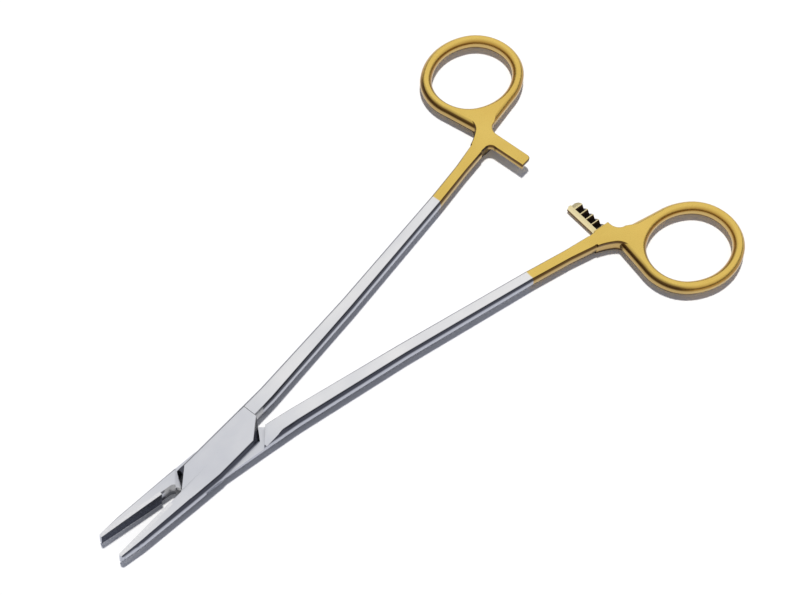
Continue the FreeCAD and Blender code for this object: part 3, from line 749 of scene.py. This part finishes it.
@dataclass
class ForgedHalf(DressedPiece):
    """A forged half, whose outer edges are rounded as polishing leaves them.

    Some edges stay sharp: round the rivet, along the insert's seat, at the acute corner at the
    rear of the slot, and on the walls of the box lock, between its top and its underside.
    """

    side: HalfSide = HalfSide.BOX
    edge_width: float = 0.22 * MM
    edge_segments: int = 3
    sharp: float = math.radians(35.0)
    shortest_edge: float = 0.15 * MM
    rivet_radius: float = 3.2 * MM
    seat_start: float = 4.0 * MM
    seat_width: float = 3.2 * MM
    slot_corner: Pair = (-16.9 * MM, 0.5 * MM)
    slot_corner_radius: float = 1.5 * MM
    lock_span: Pair = (-21.0 * MM, 15.0 * MM)
    lock_walls: Pair = (0.3 * MM, 5.2 * MM)

    def is_outer(self, middle: Vector) -> bool:
        """Tell whether an edge is one of those that are rounded.

        Args:
            middle: Middle of the edge.

        Returns:
            True where the edge may be rounded.
        """
        place = Matrix.Rotation(-self.side.opening, 3, "Z") @ middle
        at_rivet = math.hypot(place.x, place.y) < self.rivet_radius
        at_seat = place.x > self.seat_start and abs(place.y) < self.seat_width
        corner_x, corner_y = self.slot_corner
        at_corner = math.hypot(place.x - corner_x, place.y - corner_y) < self.slot_corner_radius
        in_lock = (self.lock_span[0] < place.x < self.lock_span[1]
                   and self.lock_walls[0] < place.z < self.lock_walls[1])
        return not (at_rivet or at_seat or at_corner or in_lock)

    def shape(self, piece: bpy.types.Object) -> None:
        """Round the outer edges a little.

        Args:
            piece: The half, in edit mode.
        """
        self.join_level_faces()
        bpy.ops.mesh.select_mode(type="EDGE")
        bpy.ops.mesh.select_all(action="DESELECT")
        net = bmesh.from_edit_mesh(piece.data)
        for edge in net.edges:
            if edge.is_manifold and edge.calc_length() > self.shortest_edge:
                middle = (edge.verts[0].co + edge.verts[1].co) / 2.0
                edge.select_set(edge.calc_face_angle_signed() > self.sharp and self.is_outer(middle))
        bmesh.update_edit_mesh(piece.data)
        bpy.ops.mesh.bevel(offset=self.edge_width, segments=self.edge_segments, clamp_overlap=False)


@dataclass
class GrippingInsert(DressedPiece):
    """A carbide insert, whose gripping face is cross-cut into small sunk pyramids."""

    side: HalfSide = HalfSide.BOX
    cut_pitch: float = 0.55 * MM
    cut_depth: float = 0.11 * MM
    length_span: Pair = (15.8 * MM, 34.3 * MM)
    height_span: Pair = (0.2 * MM, 5.3 * MM)
    facing_match: float = 0.999

    def pick_face(self, piece: bpy.types.Object, facing: Vector) -> None:
        """Select the gripping face and nothing else.

        Args:
            piece: The insert, in edit mode.
            facing: Direction that the gripping face looks in.
        """
        bpy.ops.mesh.select_mode(type="FACE")
        bpy.ops.mesh.select_all(action="DESELECT")
        net = bmesh.from_edit_mesh(piece.data)
        for face in net.faces:
            face.select_set(face.normal.dot(facing) > self.facing_match)
        bmesh.update_edit_mesh(piece.data)

    def shape(self, piece: bpy.types.Object) -> None:
        """Cut the grip: two sets of slanted lines, then a sunk point in every field.

        Args:
            piece: The insert, in edit mode.
        """
        turn = Matrix.Rotation(self.side.opening, 3, "Z")
        facing = turn @ Vector((0.0, -self.side.value, 0.0))
        self.join_level_faces()
        middle = Vector((sum(self.length_span) / 2.0, 0.0, sum(self.height_span) / 2.0))
        length = self.length_span[1] - self.length_span[0]
        height = self.height_span[1] - self.height_span[0]
        diagonal_reach = (length + height) / 2.0 * math.sqrt(0.5)
        count = int(diagonal_reach / self.cut_pitch)
        for slant in (1.0, -1.0):
            across = Vector((1.0, 0.0, slant)).normalized()
            for step in range(-count, count + 1):
                self.pick_face(piece, facing)
                spot = middle + across * (step * self.cut_pitch)
                bpy.ops.mesh.bisect(plane_co=turn @ spot, plane_no=turn @ across)
        self.pick_face(piece, facing)
        bpy.ops.mesh.poke(offset=-self.cut_depth, center_mode="MEDIAN_WEIGHTED")


class NeedleHolder:
    """The holder: two forged halves, the rivet and the two gripping inserts."""

    def build(self) -> list[bpy.types.Object]:
        """Dress every piece.

        Returns:
            The finished pieces.
        """
        box_finish = ForgingFinish(HalfSide.BOX).material("box_half_finish")
        lock_finish = ForgingFinish(HalfSide.LOCK).material("lock_half_finish")
        rivet_finish = RivetFinish().material("rivet_finish")
        box_carbide = CarbideFinish(HalfSide.BOX).material("box_insert_finish")
        lock_carbide = CarbideFinish(HalfSide.LOCK).material("lock_insert_finish")
        makers = (
            ForgedHalf("box_half", "box_side", box_finish, "forging", side=HalfSide.BOX),
            ForgedHalf("lock_half", "lock_side", lock_finish, "forging", side=HalfSide.LOCK),
            DressedPiece("hinge_pin", "box_side", rivet_finish, "rivet"),
            GrippingInsert("box_jaw_insert", "box_side", box_carbide, "carbide", side=HalfSide.BOX),
            GrippingInsert("lock_jaw_insert", "lock_side", lock_carbide, "carbide", side=HalfSide.LOCK),
        )
        return [maker.build() for maker in makers]


@dataclass(frozen=True)
class CameraPlace:
    """The photograph's viewpoint, from a fit of the holder's outline. Places are in metres."""

    azimuth: float = math.radians(125.79)
    elevation: float = math.radians(56.0)
    roll: float = math.radians(9.48)
    distance: float = 0.49624
    target: Triple = (-0.0707, -0.00375, 0.00275)
    lens: float = 82.83
    sensor_width: float = 36.0
    shift: Pair = (0.00446, -0.00074)
    clip_start: float = 0.01

    def axes(self) -> tuple[Vector, Vector, Vector]:
        """Work out the camera's directions.

        Returns:
            Right, up and backward.
        """
        flat = math.cos(self.elevation)
        sine, cosine = math.sin(self.azimuth), math.cos(self.azimuth)
        back = Vector((sine * flat, -cosine * flat, math.sin(self.elevation)))
        right = Vector((cosine, sine, 0.0))
        up = back.cross(right)
        rolled_right = right * math.cos(self.roll) + up * math.sin(self.roll)
        rolled_up = up * math.cos(self.roll) - right * math.sin(self.roll)
        return rolled_right, rolled_up, back

    def build(self) -> bpy.types.Object:
        """Make the camera.

        Returns:
            The camera.
        """
        right, up, back = self.axes()
        camera = bpy.data.objects.new("camera", bpy.data.cameras.new("camera"))
        camera.data.sensor_fit = "HORIZONTAL"
        camera.data.sensor_width = self.sensor_width
        camera.data.lens = self.lens
        camera.data.shift_x, camera.data.shift_y = self.shift
        camera.data.clip_start = self.clip_start
        turn = Matrix((right, up, back)).transposed().to_4x4()
        camera.matrix_world = Matrix.Translation(Vector(self.target) + back * self.distance) @ turn
        bpy.context.scene.collection.objects.link(camera)
        bpy.context.scene.camera = camera
        return camera


@dataclass(frozen=True)
class Studio:
    """Pale floor, one distant lamp, a low dark screen for the edges, and the surroundings."""

    centre_x: float = -0.065
    floor_size: float = 6.0
    floor_level: float = -0.1 * MM
    floor_colour: Triple = (0.97, 0.97, 0.97)
    floor_glow: float = 0.05
    key_direction: Triple = (-0.085, -0.19, 0.978)
    key_strength: float = 2.78
    key_angle: float = math.radians(5.5)
    key_colour: Triple = (1.0, 0.985, 0.96)
    sky_light: Triple = (0.15, 0.165, 0.22)
    background: Triple = (1.0, 1.0, 1.0)
    screen_radius: float = 0.6
    screen_height: float = 0.16
    screen_sides: int = 96
    screen_colour: Triple = (0.28, 0.28, 0.30)

    def lamp(self) -> None:
        """Hang the distant lamp that shines on the holder and the whole floor."""
        data = bpy.data.lights.new("key_lamp", "SUN")
        data.angle = self.key_angle
        data.energy = self.key_strength
        data.color = self.key_colour
        lamp = bpy.data.objects.new("key_lamp", data)
        towards = Vector(self.key_direction).normalized()
        lamp.location = Vector((self.centre_x, 0.0, 0.0)) + towards
        lamp.rotation_euler = towards.to_track_quat("Z", "Y").to_euler()
        lamp.visible_glossy = False
        bpy.context.scene.collection.objects.link(lamp)

    def floor(self) -> None:
        """Lay the pale floor."""
        bpy.ops.object.select_all(action="DESELECT")
        bpy.ops.mesh.primitive_plane_add(
            size=self.floor_size, location=(self.centre_x, 0.0, self.floor_level))
        plane = bpy.context.object
        plane.name = "floor"
        material = bpy.data.materials.new("floor_paper")
        sheet = NodeSheet(material)
        paper = sheet.node("ShaderNodeBsdfDiffuse")
        sheet.feed(paper.inputs["Color"], (*self.floor_colour, 1.0))
        glow = sheet.node("ShaderNodeEmission")
        level = sheet.arithmetic("MULTIPLY", sheet.background_rays(), self.floor_glow)
        sheet.feed(glow.inputs["Strength"], level)
        both = sheet.node("ShaderNodeAddShader")
        sheet.feed(both.inputs[0], paper.outputs[0])
        sheet.feed(both.inputs[1], glow.outputs[0])
        sheet.surface(both.outputs[0])
        plane.data.materials.append(material)

    def screen(self) -> None:
        """Stand a low dark screen round the holder, which only its metal reflects."""
        bpy.ops.object.select_all(action="DESELECT")
        bpy.ops.mesh.primitive_cylinder_add(
            vertices=self.screen_sides, radius=self.screen_radius, depth=self.screen_height,
            end_fill_type="NOTHING", location=(self.centre_x, 0.0, self.screen_height / 2.0))
        wall = bpy.context.object
        wall.name = "dark_screen"
        material = bpy.data.materials.new("dark_cloth")
        sheet = NodeSheet(material)
        cloth = sheet.node("ShaderNodeEmission")
        sheet.feed(cloth.inputs["Color"], (*self.screen_colour, 1.0))
        sheet.surface(cloth.outputs[0])
        wall.data.materials.append(material)
        wall.visible_camera = False
        wall.visible_diffuse = False
        wall.visible_shadow = False
        wall.visible_transmission = False

    def surroundings(self) -> None:
        """Give the room its low, cool light, with white where a ray sees the background."""
        world = bpy.data.worlds.new("surroundings")
        sheet = NodeSheet(world)
        room = sheet.node("ShaderNodeBackground")
        sheet.feed(room.inputs["Color"], (*self.sky_light, 1.0))
        white = sheet.node("ShaderNodeBackground")
        sheet.feed(white.inputs["Color"], (*self.background, 1.0))
        mix = sheet.node("ShaderNodeMixShader")
        sheet.feed(mix.inputs["Fac"], sheet.background_rays())
        sheet.feed(mix.inputs[1], room.outputs[0])
        sheet.feed(mix.inputs[2], white.outputs[0])
        sheet.surface(mix.outputs[0], "ShaderNodeOutputWorld")
        bpy.context.scene.world = world

    def build(self) -> None:
        """Set up the whole studio."""
        self.floor()
        self.screen()
        self.surroundings()
        self.lamp()


def main() -> None:
    """Build the holder and its studio."""
    logging.basicConfig(level=logging.INFO, format="%(message)s")
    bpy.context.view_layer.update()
    for piece in NeedleHolder().build():
        LOG.info("built %s, %d faces", piece.name, len(piece.data.polygons))
    CameraPlace().build()
    Studio().build()
    scene = bpy.context.scene
    scene.view_settings.view_transform = "Standard"
    bpy.context.view_layer.update()


if __name__ == "__main__":
    main()
